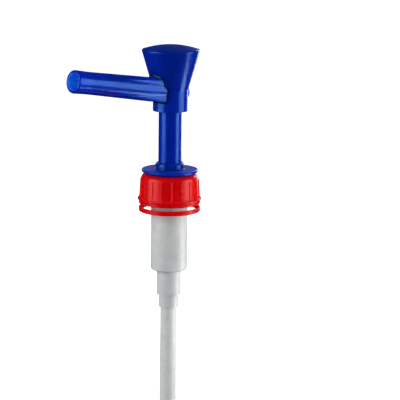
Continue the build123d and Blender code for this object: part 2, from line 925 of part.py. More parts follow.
# Lid: a shallow dome that sits in the rim's rebate, with a ring that plugs the cone
with BuildPart() as head_lid:
    dome_radius = (lid_radius**2 + lid_height**2) / (2 * lid_height)
    dome_centre = lid_top - dome_radius
    ring_radius = rim_radius - cone_slope * (lid_rebate + lid_ring_depth) - head_wall - lid_ring_slip
    ring_bore = ring_radius - lid_ring_wall
    under_radius = dome_radius - lid_thickness
    with BuildSketch(Plane.XZ):
        with BuildLine():
            RadiusArc((0, lid_top), (lid_radius, rim_top), dome_radius)
            Polyline(
                (lid_radius, rim_top),
                (lid_radius, shelf),
                (ring_radius, shelf),
                (ring_radius, shelf - lid_ring_depth),
                (ring_bore, shelf - lid_ring_depth),
                (ring_bore, dome_centre + sqrt(under_radius**2 - ring_bore**2)),
            )
            RadiusArc(
                (ring_bore, dome_centre + sqrt(under_radius**2 - ring_bore**2)),
                (0, lid_top - lid_thickness),
                -under_radius,
            )
            Line((0, lid_top - lid_thickness), (0, lid_top))
        make_face()
    revolve(axis=Axis.Z)
head_lid.part.label = "head_lid"
export_step(head_lid.part, "parts/head_lid.step")

# Root block: the spout is square with rounded corners where it meets the head, and tapers into the round tube
with BuildPart() as root_block:
    block_corner = min(block_round, block_round_share * block_end_half_height)
    sections = []
    for distance, half_width, half_height in (
        (block_start, block_half_width, block_half_height),
        (block_end, block_end_half_width, block_end_half_height),
    ):
        corners = [
            (half_width, half_height),
            (-half_width, half_height),
            (-half_width, -half_height),
            (half_width, -half_height),
        ]
        sections.append(
            outline(corners, [(corner, block_corner) for corner in corners], plane=across_spout(distance))
        )
    loft(sections, ruled=True)
    with BuildSketch(across_spout(0)):
        Circle(spout_bore_radius + block_cover)
    extrude(amount=block_end + overrun, mode=Mode.SUBTRACT)
    revolve(
        outline(
            [
                (0, socket_bottom - overrun),
                (socket_radius + press_clearance, socket_bottom - overrun),
                (socket_radius + press_clearance, cone_bottom),
                (rim_radius + press_clearance, rim_top),
                (0, rim_top),
            ]
        ),
        axis=Axis.Z,
        mode=Mode.SUBTRACT,
    )

# Spout: a tapered tube whose end swells into a rounded lip
with BuildPart() as spout:
    lip_round = min(spout_lip_round, spout_lip_round_share * spout_mouth_width)
    mouth_round = min(spout_mouth_round, spout_mouth_round_share * spout_mouth_width)
    revolve(
        outline(
            [
                (spout_inner_end, spout_bore_radius),
                (spout_inner_end, spout_root_radius),
                (spout_root_end, spout_root_radius),
                (spout_waist_end, spout_waist_radius),
                (spout_length, spout_lip_radius),
                (spout_length, spout_bore_radius),
            ],
            [
                ((spout_length, spout_lip_radius), lip_round),
                ((spout_length, spout_bore_radius), mouth_round),
            ],
            plane=spout_side,
        ),
        axis=spout_axis,
    )
    add(root_block.part)
spout.part.label = "spout"
export_step(spout.part, "parts/spout.step")

# Rear plug, in line with the spout
with BuildPart() as rear_plug:
    shank_radius = plug_radius - press_clearance
    plug_end = plug_seat + plug_head_height
    revolve(
        outline(
            [
                (-plug_inner_end, 0),
                (-plug_inner_end, shank_radius),
                (-plug_seat, shank_radius),
                (-plug_seat, plug_head_radius),
                (-plug_end, plug_head_radius),
                (-plug_end, 0),
            ],
            [((-plug_end, plug_head_radius), plug_head_round)],
            plane=spout_side,
        ),
        axis=spout_axis,
    )
rear_plug.part.label = "rear_plug"
export_step(rear_plug.part, "parts/rear_plug.step")
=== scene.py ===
# %% [markdown]
# # A hand dispensing pump, dressed in Blender
# The real pump is an assembly of moulded plastic pieces, rubber seals, steel balls and one steel spring.
# Its solids arrive as a fixed frame, in metres, and keep their places. This lesson gives each piece the
# finish that its maker's process leaves on it, and adds the small shapes that the frame leaves out.

import json
import math

import bmesh
import bpy
from mathutils import Matrix, Vector


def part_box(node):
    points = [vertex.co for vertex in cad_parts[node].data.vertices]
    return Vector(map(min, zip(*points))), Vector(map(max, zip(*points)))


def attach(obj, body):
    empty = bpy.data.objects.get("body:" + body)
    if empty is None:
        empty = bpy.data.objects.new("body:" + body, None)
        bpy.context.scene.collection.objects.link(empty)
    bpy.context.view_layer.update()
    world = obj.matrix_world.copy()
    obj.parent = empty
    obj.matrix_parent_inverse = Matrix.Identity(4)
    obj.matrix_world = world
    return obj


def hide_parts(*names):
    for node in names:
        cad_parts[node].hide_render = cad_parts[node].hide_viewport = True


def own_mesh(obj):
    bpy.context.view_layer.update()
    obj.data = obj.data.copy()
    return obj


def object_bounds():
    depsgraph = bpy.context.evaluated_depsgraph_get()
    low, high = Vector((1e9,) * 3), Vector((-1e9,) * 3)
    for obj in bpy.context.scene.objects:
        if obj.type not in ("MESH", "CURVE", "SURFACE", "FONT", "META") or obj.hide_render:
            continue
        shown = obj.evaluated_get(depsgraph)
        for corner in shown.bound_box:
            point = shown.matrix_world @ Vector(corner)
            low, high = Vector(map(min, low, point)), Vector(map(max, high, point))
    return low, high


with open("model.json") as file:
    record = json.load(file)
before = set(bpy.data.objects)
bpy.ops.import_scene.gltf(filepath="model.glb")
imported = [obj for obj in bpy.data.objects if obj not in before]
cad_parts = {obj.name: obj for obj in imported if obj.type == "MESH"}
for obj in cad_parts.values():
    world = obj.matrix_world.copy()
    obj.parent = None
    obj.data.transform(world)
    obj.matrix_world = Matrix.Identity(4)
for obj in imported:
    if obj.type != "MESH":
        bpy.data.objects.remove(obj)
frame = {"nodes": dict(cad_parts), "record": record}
nodes = frame["nodes"]
cad_box = [list(corner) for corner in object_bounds()]
MM = 0.001
print("pieces in the frame:", len(nodes))

# %% [markdown]
# ## Three small helpers
# Colours are picked as sRGB hex values, the way a paint card gives them, but a shader works with linear
# light, so one function turns the one into the other. A second function adds a node, sets it and links
# it, so that a tree reads as a list of its nodes. A third gives a pattern its scale from a real size.

# %% Helpers for colours and nodes
def linear(hex_colour):
    """A colour written as sRGB hex, as the linear RGBA that a node takes."""
    shares = [int(hex_colour[i:i + 2], 16) / 255 for i in (1, 3, 5)]
    curved = [((share + 0.055) / 1.055) ** 2.4 if share > 0.04045 else share / 12.92 for share in shares]
    return (*curved, 1.0)


def add(tree, kind, settings=None, links=None):
    """Adds one node. A key is a property's name, or a socket's name or number."""
    node = tree.nodes.new(kind)
    sockets = {}
    for key, value in (settings or {}).items():
        if isinstance(key, str) and key not in node.inputs:
            setattr(node, key, value)
        else:
            sockets[key] = value
    for key, value in sockets.items():
        node.inputs[key].default_value = value
    for key, source in (links or {}).items():
        tree.links.new(source, node.inputs[key])
    return node


def per_size(size_mm):
    """The texture scale that gives a pattern cells of this size, in millimetres."""
    return 1 / (size_mm * MM)


print("white as linear light:", linear("#FFFFFF"))

# %% [markdown]
# ## Moulded plastic
# The head, spout, stem and collar are polypropylene and the cap is polyethylene, coloured right through
# and injected into polished steel moulds. Such a skin is glossy but never perfect: the melt leaves faint
# clouds of colour along its flow, the steel leaves a fine ripple like the peel of an orange, handling
# leaves hair scratches that dull the gloss, and edges lighten where they rub. The lighter edges are also
# a painted highlight, the light that a rounded edge catches, most of all on the red cap's ribs. Flat tops
# are satin, because the steel that forms them is only turned. All of that can be painted as an image,
# but a procedural tree needs no unwrapping and keeps its scale on every piece, so it is built from noise
# here, one layer at a time.

# %% Colour of a moulded plastic
def new_finish(name):
    """A new material, its tree and shader, and the Object coordinates that its patterns follow."""
    material = bpy.data.materials.new(name)
    material.use_nodes = True
    tree = material.node_tree
    place = add(tree, "ShaderNodeTexCoord").outputs["Object"]
    return material, tree, tree.nodes["Principled BSDF"], place


def cloudy_pigment(tree, place, deep, fair, cloud_mm):
    """Clouds of pigment, drawn out along the flow."""
    flow = add(tree, "ShaderNodeMapping", {"Scale": (1.0, 1.0, 0.45)}, {"Vector": place})
    clouds = add(tree, "ShaderNodeTexNoise",
                 {"Scale": per_size(cloud_mm), "Detail": 4.0, "Roughness": 0.55, "Distortion": 0.7},
                 {"Vector": flow.outputs[0]})
    pigment = add(tree, "ShaderNodeValToRGB", links={"Fac": clouds.outputs["Fac"]})
    for stop, at, colour in zip(pigment.color_ramp.elements, (0.32, 0.68), (deep, fair)):
        stop.position, stop.color = at, linear(colour)
    return pigment.outputs["Color"]


def rubbed_and_highlit_edges(tree, pigment, patches, rounded, facing, worn_and_highlit, rub_and_highlight):
    """The pigment, lighter in patches beside edges, partly as rubbed wear and partly as a painted highlight
    of a rounded edge: only there does a rounded normal leave the true one.
    """
    alike = add(tree, "ShaderNodeVectorMath", {"operation": "DOT_PRODUCT"}, {0: rounded, 1: facing})
    # Edges are lightened towards the worn colour: partly rubbed wear, partly painted highlight.
    rub_and_highlight_share = add(tree, "ShaderNodeMapRange",
              {"From Min": 0.995, "From Max": 0.86, "To Min": 0.0, "To Max": rub_and_highlight},
              {"Value": alike.outputs["Value"]})
    patchy_rub_and_highlight = add(tree, "ShaderNodeMath", {"operation": "MULTIPLY"}, {0: rub_and_highlight_share.outputs["Result"], 1: patches})
    coloured = add(tree, "ShaderNodeMix", {"data_type": "RGBA", 7: linear(worn_and_highlit)},
                   {0: patchy_rub_and_highlight.outputs[0], 6: pigment})
    return coloured.outputs[2]


print("layers of colour:", cloudy_pigment.__name__, rubbed_and_highlit_edges.__name__)

# %% Gloss and relief of a moulded plastic
SCRATCH_MM = 0.35
PEEL_MM = 2.2
SATIN = 0.4


def scratched_gloss(tree, place, patches, facing, roughness):
    """Roughness with hair scratches and finger marks, and with a satin share where a face looks up.

    Real scratches are some hundredths of a millimetre wide. These are drawn coarser, so that they show.
    """
    drawn = add(tree, "ShaderNodeMapping", {"Rotation": (0.5, 0.9, 0.3), "Scale": (1.0, 1.0, 0.05)},
                {"Vector": place})
    scratches = add(tree, "ShaderNodeTexNoise", {"Scale": per_size(SCRATCH_MM), "Detail": 2.0},
                    {"Vector": drawn.outputs[0]})
    hairs = add(tree, "ShaderNodeMapRange",
                {"From Min": 0.66, "From Max": 0.78, "To Min": 0.0, "To Max": 0.10},
                {"Value": scratches.outputs["Fac"]})
    marks = add(tree, "ShaderNodeMapRange",
                {"From Min": 0.35, "From Max": 0.7,
                 "To Min": roughness - 0.04, "To Max": roughness + 0.06},
                {"Value": patches})
    dull = add(tree, "ShaderNodeMath", {"operation": "ADD"},
               {0: marks.outputs["Result"], 1: hairs.outputs["Result"]})
    upward = add(tree, "ShaderNodeSeparateXYZ", links={0: facing})
    turned = add(tree, "ShaderNodeMapRange",
                 {"From Min": 0.88, "From Max": 0.96, "To Min": 0.0, "To Max": SATIN},
                 {"Value": upward.outputs["Z"]})
    satin = add(tree, "ShaderNodeMath", {"operation": "ADD"},
                {0: dull.outputs[0], 1: turned.outputs["Result"]})
    return satin.outputs[0]


def fine_ripple(tree, place, rounded, depth_mm):
    """The ripple that the steel leaves, drawn coarser than the real 0.3 mm so that it shows.

    It lies on the rounded normal, so that sharp edges, such as the ribs', catch light as moulded ones do.
    """
    peel = add(tree, "ShaderNodeTexNoise", {"Scale": per_size(PEEL_MM), "Detail": 1.5}, {"Vector": place})
    ripple = add(tree, "ShaderNodeBump", {"Strength": 0.5, "Distance": depth_mm * MM},
                 {"Height": peel.outputs["Fac"], "Normal": rounded})
    return ripple.outputs["Normal"]


print("scratches of", SCRATCH_MM, "mm and a ripple of", PEEL_MM, "mm")

# %% The two moulded plastics
EDGE_ROUND = 0.45 * MM
PATCH_MM = 2.6


def moulded_plastic(name, deep, fair, worn_and_highlit, sheen, rub_and_highlight, roughness, cloud_mm, ripple_depth_mm, reach_mm):
    """Glossy plastic that light reaches into, with all the layers above. The sheen tints its gloss."""
    material, tree, shader, place = new_finish(name)
    patches = add(tree, "ShaderNodeTexNoise", {"Scale": per_size(PATCH_MM), "Detail": 3.0},
                  {"Vector": place}).outputs["Fac"]
    rounded = add(tree, "ShaderNodeBevel", {"samples": 4, "Radius": EDGE_ROUND}).outputs["Normal"]
    facing = add(tree, "ShaderNodeNewGeometry").outputs["Normal"]
    pigment = cloudy_pigment(tree, place, deep, fair, cloud_mm)
    layers = {
        "Base Color": rubbed_and_highlit_edges(tree, pigment, patches, rounded, facing, worn_and_highlit, rub_and_highlight),
        "Roughness": scratched_gloss(tree, place, patches, facing, roughness),
        "Normal": fine_ripple(tree, place, rounded, ripple_depth_mm),
    }
    for socket, layer in layers.items():
        tree.links.new(layer, shader.inputs[socket])
    shader.inputs["IOR"].default_value = 1.49
    shader.inputs["Specular IOR Level"].default_value = 0.8
    shader.inputs["Specular Tint"].default_value = linear(sheen)
    shader.inputs["Subsurface Weight"].default_value = 1.0
    shader.inputs["Subsurface Radius"].default_value = reach_mm
    shader.inputs["Subsurface Scale"].default_value = MM
    return material


# Both plastics lighten their edges, partly as wear and partly as painted highlight; the red cap's ribs take
# it in full.
blue_polypropylene = moulded_plastic(
    "moulded_blue_polypropylene", deep="#0323A6", fair="#052CB6", worn_and_highlit="#4C76D8", sheen="#5CAAFF",
    rub_and_highlight=0.32, roughness=0.2, cloud_mm=16, ripple_depth_mm=0.004, reach_mm=(4.0, 12.0, 18.0))
red_polyethylene = moulded_plastic(
    "moulded_red_polyethylene", deep="#E2020C", fair="#EE0614", worn_and_highlit="#EE6A6A", sheen="#FF8888",
    rub_and_highlight=1.0, roughness=0.25, cloud_mm=14, ripple_depth_mm=0.005, reach_mm=(3.0, 0.3, 0.3))
print("made:", blue_polypropylene.name, red_polyethylene.name)

# %% [markdown]
# ## The bore of the spout
# A long steel pin shapes the bore. It is blasted, not polished, so that it draws out of the plastic
# easily, and the skin that it leaves is matt. The bore's paler blue is a painted glow: it stands in for the
# light that shines through the thin wall into the bore. The spout's finish is a copy of the blue one, in
# which the distance from the bore's axis decides between the two skins. The record's outlet gives that
# axis.

# %% Blue plastic with a matt bore and a painted glow
outlet = next(mount for mount in frame["record"]["mounts"] if mount["name"] == "spout_outlet")
spout_way = Vector(outlet["axis"]).normalized()
spout_start = Vector(outlet["pos_m"]) - spout_way * (outlet["pos_m"][0] / spout_way.x)


def with_painted_glow_and_matt_bore(material, name, painted_glow, matt, bore_mm, fade_mm):
    """A copy of a moulded plastic that is duller inside the spout's bore, and painted paler there as a glow
    of the light that shines through the wall.
    """
    finish = material.copy()
    finish.name = name
    tree = finish.node_tree
    shader = tree.nodes["Principled BSDF"]
    place = add(tree, "ShaderNodeTexCoord").outputs["Object"]
    offset = add(tree, "ShaderNodeVectorMath", {"operation": "SUBTRACT", 1: spout_start}, {0: place})
    aside = add(tree, "ShaderNodeVectorMath", {"operation": "CROSS_PRODUCT", 1: spout_way},
                {0: offset.outputs[0]})
    reach = add(tree, "ShaderNodeVectorMath", {"operation": "LENGTH"}, {0: aside.outputs[0]})
    inside = add(tree, "ShaderNodeMapRange",
                 {"From Min": (bore_mm + fade_mm) * MM, "From Max": bore_mm * MM,
                  "To Min": 0.0, "To Max": 1.0},
                 {"Value": reach.outputs["Value"]}).outputs["Result"]
    # The bore's colour is mixed towards a paler blue: a painted glow of light through the wall.
    painted_glow_colour = add(tree, "ShaderNodeMix", {"data_type": "RGBA", 7: linear(painted_glow)},
               {0: inside, 6: shader.inputs["Base Color"].links[0].from_socket})
    tree.links.new(painted_glow_colour.outputs[2], shader.inputs["Base Color"])
    duller = add(tree, "ShaderNodeMath", {"operation": "MULTIPLY_ADD", 1: matt},
                 {0: inside, 2: shader.inputs["Roughness"].links[0].from_socket})
    tree.links.new(duller.outputs[0], shader.inputs["Roughness"])
    return finish


# The paler blue inside the bore is painted glow; the matt share is the bore's real roughness.
painted_glow_spout_plastic = with_painted_glow_and_matt_bore(
    blue_polypropylene, "moulded_blue_polypropylene_with_matt_bore", painted_glow="#3670EA", matt=0.25,
    bore_mm=6.6, fade_mm=0.7)
print("made:", painted_glow_spout_plastic.name)

# %% [markdown]
# ## Plastic without colour
# The barrel and the foot valve are natural polypropylene, the dip tube is natural polyethylene pulled
# through a die, and the piston, bush, cages and seats are white acetal. Without pigment these plastics
# are milky: light goes in, scatters and shines on through. The tube also has faint lines along its
# length from the die. The clear share of the shader lets the spring show dimly through the barrel, as it
# does on a real pump.

# %% Natural and white plastics
MILKY_CLOUD_MM = 9


def milky_plastic(name, shade, fair, roughness, clear, grain_mm, stretch, grain_depth_mm):
    """Milky plastic with faint clouds, and a grain that is stretched the way the plastic flowed."""
    material, tree, shader, place = new_finish(name)
    clouds = add(tree, "ShaderNodeTexNoise",
                 {"Scale": per_size(MILKY_CLOUD_MM), "Detail": 4.0, "Distortion": 0.5}, {"Vector": place})
    tint = add(tree, "ShaderNodeValToRGB", links={"Fac": clouds.outputs["Fac"]})
    for stop, at, colour in zip(tint.color_ramp.elements, (0.3, 0.7), (shade, fair)):
        stop.position, stop.color = at, linear(colour)
    tree.links.new(tint.outputs["Color"], shader.inputs["Base Color"])
    flow = add(tree, "ShaderNodeMapping", {"Scale": stretch}, {"Vector": place})
    grain = add(tree, "ShaderNodeTexNoise", {"Scale": per_size(grain_mm), "Detail": 3.0},
                {"Vector": flow.outputs[0]})
    satin = add(tree, "ShaderNodeMapRange",
                {"From Min": 0.3, "From Max": 0.7, "To Min": roughness - 0.05, "To Max": roughness + 0.08},
                {"Value": grain.outputs["Fac"]})
    tree.links.new(satin.outputs["Result"], shader.inputs["Roughness"])
    relief = add(tree, "ShaderNodeBump", {"Strength": 0.5, "Distance": grain_depth_mm * MM},
                 {"Height": grain.outputs["Fac"]})
    tree.links.new(relief.outputs["Normal"], shader.inputs["Normal"])
    shader.inputs["IOR"].default_value = 1.5
    shader.inputs["Alpha"].default_value = 1 - clear
    shader.inputs["Subsurface Weight"].default_value = 0.25
    shader.inputs["Subsurface Radius"].default_value = (1.0, 1.0, 0.9)
    shader.inputs["Subsurface Scale"].default_value = 1.5 * MM
    return material


natural_polypropylene = milky_plastic(
    "natural_moulded_polypropylene", "#DDE1E2", "#ECEFEF", roughness=0.32, clear=0.2,
    grain_mm=1.4, stretch=(1.0, 1.0, 0.3), grain_depth_mm=0.02)
natural_polyethylene = milky_plastic(
    "natural_extruded_polyethylene", "#E2E5E3", "#F0F2F0", roughness=0.36, clear=0.15,
    grain_mm=0.7, stretch=(1.0, 1.0, 0.02), grain_depth_mm=0.02)
white_acetal = milky_plastic(
    "moulded_white_acetal", "#E6E5DF", "#F2F1EC", roughness=0.38, clear=0.0,
    grain_mm=0.9, stretch=(1.0, 1.0, 1.0), grain_depth_mm=0.015)
print("made:", natural_polypropylene.name, natural_polyethylene.name, white_acetal.name)

# %% [markdown]
# ## Rubber, foam and steel
# The seals are nitrile rubber, cured in a mould that was blasted to release it, so they are matt with a
# fine grain. The gasket is cut from a sheet of closed-cell foam, whose cells show as shallow pits. The
# spring is wire drawn through a die, which leaves lines along it, the washer is stamped from rolled
# sheet, and the balls are ground and polished until they shine.

# %% Rubber and foam
MATT_CLOUD_MM = 5


def pitted_sheet(name, low, high, cell_mm, pit_depth_mm, roughness):
    """A matt sheet or moulding whose grain or cells show as shallow pits."""
    material, tree, shader, place = new_finish(name)
    cells = add(tree, "ShaderNodeTexVoronoi", {"Scale": per_size(cell_mm)}, {"Vector": place})
    clouds = add(tree, "ShaderNodeTexNoise", {"Scale": per_size(MATT_CLOUD_MM), "Detail": 3.0},
                 {"Vector": place})
    mixed = add(tree, "ShaderNodeMath", {"operation": "MULTIPLY"},
                {0: cells.outputs["Distance"], 1: clouds.outputs["Fac"]})
    tint = add(tree, "ShaderNodeValToRGB", links={"Fac": mixed.outputs[0]})
    for stop, at, colour in zip(tint.color_ramp.elements, (0.05, 0.5), (high, low)):
        stop.position, stop.color = at, linear(colour)
    tree.links.new(tint.outputs["Color"], shader.inputs["Base Color"])
    matt = add(tree, "ShaderNodeMapRange",
               {"From Min": 0.3, "From Max": 0.7, "To Min": roughness - 0.06, "To Max": roughness + 0.06},
               {"Value": clouds.outputs["Fac"]})
    tree.links.new(matt.outputs["Result"], shader.inputs["Roughness"])
    pits = add(tree, "ShaderNodeBump", {"Strength": 0.6, "Distance": pit_depth_mm * MM},
               {"Height": cells.outputs["Distance"]})
    tree.links.new(pits.outputs["Normal"], shader.inputs["Normal"])
    return material


nitrile_rubber = pitted_sheet("moulded_nitrile_rubber", "#141414", "#222222",
                              cell_mm=0.4, pit_depth_mm=0.03, roughness=0.68)
foam_sheet = pitted_sheet("closed_cell_foam", "#CFCFC8", "#E4E4DE",
                          cell_mm=0.7, pit_depth_mm=0.08, roughness=0.82)
print("made:", nitrile_rubber.name, foam_sheet.name)

# %% Stainless steel
GROOVE_DEPTH = 0.01 * MM


def stainless(name, shade, fair, roughness, line_mm, stretch):
    """Stainless steel with lines along the way that it was drawn, rolled or ground.

    Real lines are finer than a tenth of a millimetre. These are drawn coarser, so that they show.
    """
    material, tree, shader, place = new_finish(name)
    way = add(tree, "ShaderNodeMapping", {"Scale": stretch}, {"Vector": place})
    lines = add(tree, "ShaderNodeTexNoise", {"Scale": per_size(line_mm), "Detail": 3.0},
                {"Vector": way.outputs[0]})
    tint = add(tree, "ShaderNodeValToRGB", links={"Fac": lines.outputs["Fac"]})
    for stop, at, colour in zip(tint.color_ramp.elements, (0.3, 0.7), (shade, fair)):
        stop.position, stop.color = at, linear(colour)
    tree.links.new(tint.outputs["Color"], shader.inputs["Base Color"])
    gloss = add(tree, "ShaderNodeMapRange",
                {"From Min": 0.3, "From Max": 0.7, "To Min": roughness * 0.7, "To Max": roughness * 1.4},
                {"Value": lines.outputs["Fac"]})
    tree.links.new(gloss.outputs["Result"], shader.inputs["Roughness"])
    grooves = add(tree, "ShaderNodeBump", {"Strength": 0.3, "Distance": GROOVE_DEPTH},
                  {"Height": lines.outputs["Fac"]})
    tree.links.new(grooves.outputs["Normal"], shader.inputs["Normal"])
    shader.inputs["Metallic"].default_value = 1.0
    return material


drawn_steel = stainless("drawn_stainless_steel", "#B4B6B7", "#D2D4D4",
                        roughness=0.28, line_mm=0.25, stretch=(1.0, 1.0, 6.0))
polished_steel = stainless("polished_stainless_steel", "#C2C4C5", "#DADBDB",
                           roughness=0.1, line_mm=1.2, stretch=(1.0, 1.0, 1.0))
print("made:", drawn_steel.name, polished_steel.name)

# %% [markdown]
# ## Every piece gets its finish
# The record names a material slot for each piece. The balls share the steel's slot but are polished, and
# the spout has its matt bore with a painted glow, so these are set apart by name. Assigning to an
# object's slots changes its look and leaves its mesh alone.

# %% Finishes for the pieces
FINISHES = {
    "blue_polypropylene": blue_polypropylene,
    "red_polyethylene": red_polyethylene,
    "natural_polypropylene": natural_polypropylene,
    "natural_polyethylene": natural_polyethylene,
    "white_acetal": white_acetal,
    "black_rubber": nitrile_rubber,
    "foam_gasket": foam_sheet,
    "stainless_steel": drawn_steel,
}
for piece in frame["record"]["subparts"]:
    finish = FINISHES[piece["material_slot"]]
    if piece["node"] == "spout":
        finish = painted_glow_spout_plastic
    if piece["node"].endswith("_ball"):
        finish = polished_steel
    for holder in nodes[piece["node"]].material_slots:
        holder.material = finish

# %% [markdown]
# ## The return spring
# A compression spring is one wire wound on a mandrel: close turns at both ends, so that it stands
# square, and open turns between. That is a rule, not a drawing, so Geometry Nodes wind it: a line is cut
# into short steps, each step is moved to its place on the helix, and a round section is swept along. A
# step is as high as the close pitch makes it, plus the extra pitch of the turns that have opened so far.

# %% Helpers for trees that grow a piece
def finish_tree(tree, geometry, material):
    """Ends a tree: smooth faces, real geometry instead of instances, and the material."""
    smooth = add(tree, "GeometryNodeSetShadeSmooth", links={0: geometry})
    real = add(tree, "GeometryNodeRealizeInstances", links={0: smooth.outputs[0]})
    painted = add(tree, "GeometryNodeSetMaterial", {"Material": material}, {0: real.outputs[0]})
    add(tree, "NodeGroupOutput", links={0: painted.outputs[0]})


def new_tree(name, inputs):
    """A node tree with named inputs: the name and the kind of each."""
    tree = bpy.data.node_groups.new(name, "GeometryNodeTree")
    tree.interface.new_socket("Geometry", in_out="INPUT", socket_type="NodeSocketGeometry")
    tree.interface.new_socket("Geometry", in_out="OUTPUT", socket_type="NodeSocketGeometry")
    for label, kind in inputs.items():
        tree.interface.new_socket(label, in_out="INPUT", socket_type="NodeSocket" + kind)
    return tree


def grow(name, tree, sizes, points=(), edges=()):
    """Runs a tree on a new object, with all its sizes, and returns the result as a plain mesh object."""
    seed = bpy.data.meshes.new(name + "_seed")
    seed.from_pydata([Vector(point) for point in points], list(edges), [])
    holder = bpy.data.objects.new(name + "_seed", seed)
    bpy.context.scene.collection.objects.link(holder)
    modifier = holder.modifiers.new("grow", "NODES")
    modifier.node_group = tree
    sockets = {item.name: item.identifier for item in tree.interface.items_tree if item.in_out == "INPUT"}
    for label, value in sizes.items():
        modifier[sockets[label]] = value
    graph = bpy.context.evaluated_depsgraph_get()
    mesh = bpy.data.meshes.new_from_object(holder.evaluated_get(graph), depsgraph=graph)
    mesh.name = name
    bpy.data.objects.remove(holder)
    bpy.data.meshes.remove(seed)
    piece = bpy.data.objects.new(name, mesh)
    bpy.context.scene.collection.objects.link(piece)
    print(f"{name}: {len(mesh.vertices)} points, {len(mesh.polygons)} faces")
    return piece


print("helpers for trees:", new_tree.__name__, grow.__name__, finish_tree.__name__)

# %% How the pitch of a wound spring opens
spring_tree = new_tree("wound_spring", {
    "Turns": "Int", "Steps per turn": "Int", "Mean radius": "Float", "Wire radius": "Float",
    "Foot height": "Float", "Rise": "Float", "Close pitch": "Float", "Opening turns": "Float",
})
given = add(spring_tree, "NodeGroupInput").outputs
half_opening = add(spring_tree, "ShaderNodeMath", {"operation": "MULTIPLY", 1: 0.5},
                   {0: given["Opening turns"]})


def turns_opened(turn, middle):
    """Turns wound since the pitch opened, when it opens smoothly about a middle turn."""
    passed = add(spring_tree, "ShaderNodeMath", {"operation": "SUBTRACT"}, {0: turn, 1: middle})
    begun = add(spring_tree, "ShaderNodeMath", {"operation": "DIVIDE"},
                {0: passed.outputs[0], 1: given["Opening turns"]})
    share = add(spring_tree, "ShaderNodeMath", {"operation": "ADD", "use_clamp": True, 1: 0.5},
                {0: begun.outputs[0]})
    cube = add(spring_tree, "ShaderNodeMath", {"operation": "POWER", 1: 3.0}, {0: share.outputs[0]})
    fourth = add(spring_tree, "ShaderNodeMath", {"operation": "POWER", 1: 4.0}, {0: share.outputs[0]})
    eased = add(spring_tree, "ShaderNodeMath", {"operation": "MULTIPLY_ADD", 1: -0.5},
                {0: fourth.outputs[0], 2: cube.outputs[0]})
    beyond = add(spring_tree, "ShaderNodeMath", {"operation": "SUBTRACT"},
                 {0: passed.outputs[0], 1: half_opening.outputs[0]})
    full = add(spring_tree, "ShaderNodeMath", {"operation": "MAXIMUM", 1: 0.0}, {0: beyond.outputs[0]})
    opened = add(spring_tree, "ShaderNodeMath", {"operation": "MULTIPLY_ADD"},
                 {0: eased.outputs[0], 1: given["Opening turns"], 2: full.outputs[0]})
    return opened.outputs[0]


print("inputs of the spring's tree:", [socket.name for socket in given if socket.name])

# %% The helix of the spring
way = add(spring_tree, "GeometryNodeSplineParameter")
turn = add(spring_tree, "ShaderNodeMath", {"operation": "MULTIPLY"},
           {0: way.outputs["Factor"], 1: given["Turns"]}).outputs[0]
first_turn = add(spring_tree, "ShaderNodeValue")
first_turn.outputs[0].default_value = 1.0
last_turn = add(spring_tree, "ShaderNodeMath", {"operation": "SUBTRACT", 1: 1.0}, {0: given["Turns"]})
opened = add(spring_tree, "ShaderNodeMath", {"operation": "SUBTRACT"},
             {0: turns_opened(turn, first_turn.outputs[0]), 1: turns_opened(turn, last_turn.outputs[0])})
open_rise = add(spring_tree, "ShaderNodeMath", {"operation": "MULTIPLY_ADD", 1: -2.0},
                {0: given["Close pitch"], 2: given["Rise"]})
open_turns = add(spring_tree, "ShaderNodeMath", {"operation": "SUBTRACT", 1: 2.0}, {0: given["Turns"]})
open_pitch = add(spring_tree, "ShaderNodeMath", {"operation": "DIVIDE"},
                 {0: open_rise.outputs[0], 1: open_turns.outputs[0]})
extra_pitch = add(spring_tree, "ShaderNodeMath", {"operation": "SUBTRACT"},
                  {0: open_pitch.outputs[0], 1: given["Close pitch"]})
close_height = add(spring_tree, "ShaderNodeMath", {"operation": "MULTIPLY_ADD"},
                   {0: turn, 1: given["Close pitch"], 2: given["Foot height"]})
height = add(spring_tree, "ShaderNodeMath", {"operation": "MULTIPLY_ADD"},
             {0: opened.outputs[0], 1: extra_pitch.outputs[0], 2: close_height.outputs[0]})
angle = add(spring_tree, "ShaderNodeMath", {"operation": "MULTIPLY", 1: 2 * math.pi}, {0: turn})
arm = add(spring_tree, "ShaderNodeCombineXYZ", links={"X": given["Mean radius"], "Z": height.outputs[0]})
spot = add(spring_tree, "ShaderNodeVectorRotate", {"rotation_type": "Z_AXIS"},
           {"Vector": arm.outputs[0], "Angle": angle.outputs[0]})
print("nodes up to the helix:", len(spring_tree.nodes))

# %% The wire along the helix
WIRE_SIDES = 14
steps = add(spring_tree, "ShaderNodeMath", {"operation": "MULTIPLY_ADD", 2: 1.0},
            {0: given["Turns"], 1: given["Steps per turn"]})
straight = add(spring_tree, "GeometryNodeCurvePrimitiveLine")
cut = add(spring_tree, "GeometryNodeResampleCurve",
          links={"Curve": straight.outputs[0], "Count": steps.outputs[0]})
wound = add(spring_tree, "GeometryNodeSetPosition", links={0: cut.outputs[0], "Position": spot.outputs[0]})
section = add(spring_tree, "GeometryNodeCurvePrimitiveCircle", {"Resolution": WIRE_SIDES},
              {"Radius": given["Wire radius"]})
wire = add(spring_tree, "GeometryNodeCurveToMesh", {"Fill Caps": True},
           {"Curve": wound.outputs[0], "Profile Curve": section.outputs[0]})
finish_tree(spring_tree, wire.outputs[0], drawn_steel)
print("nodes in the spring's tree:", len(spring_tree.nodes))

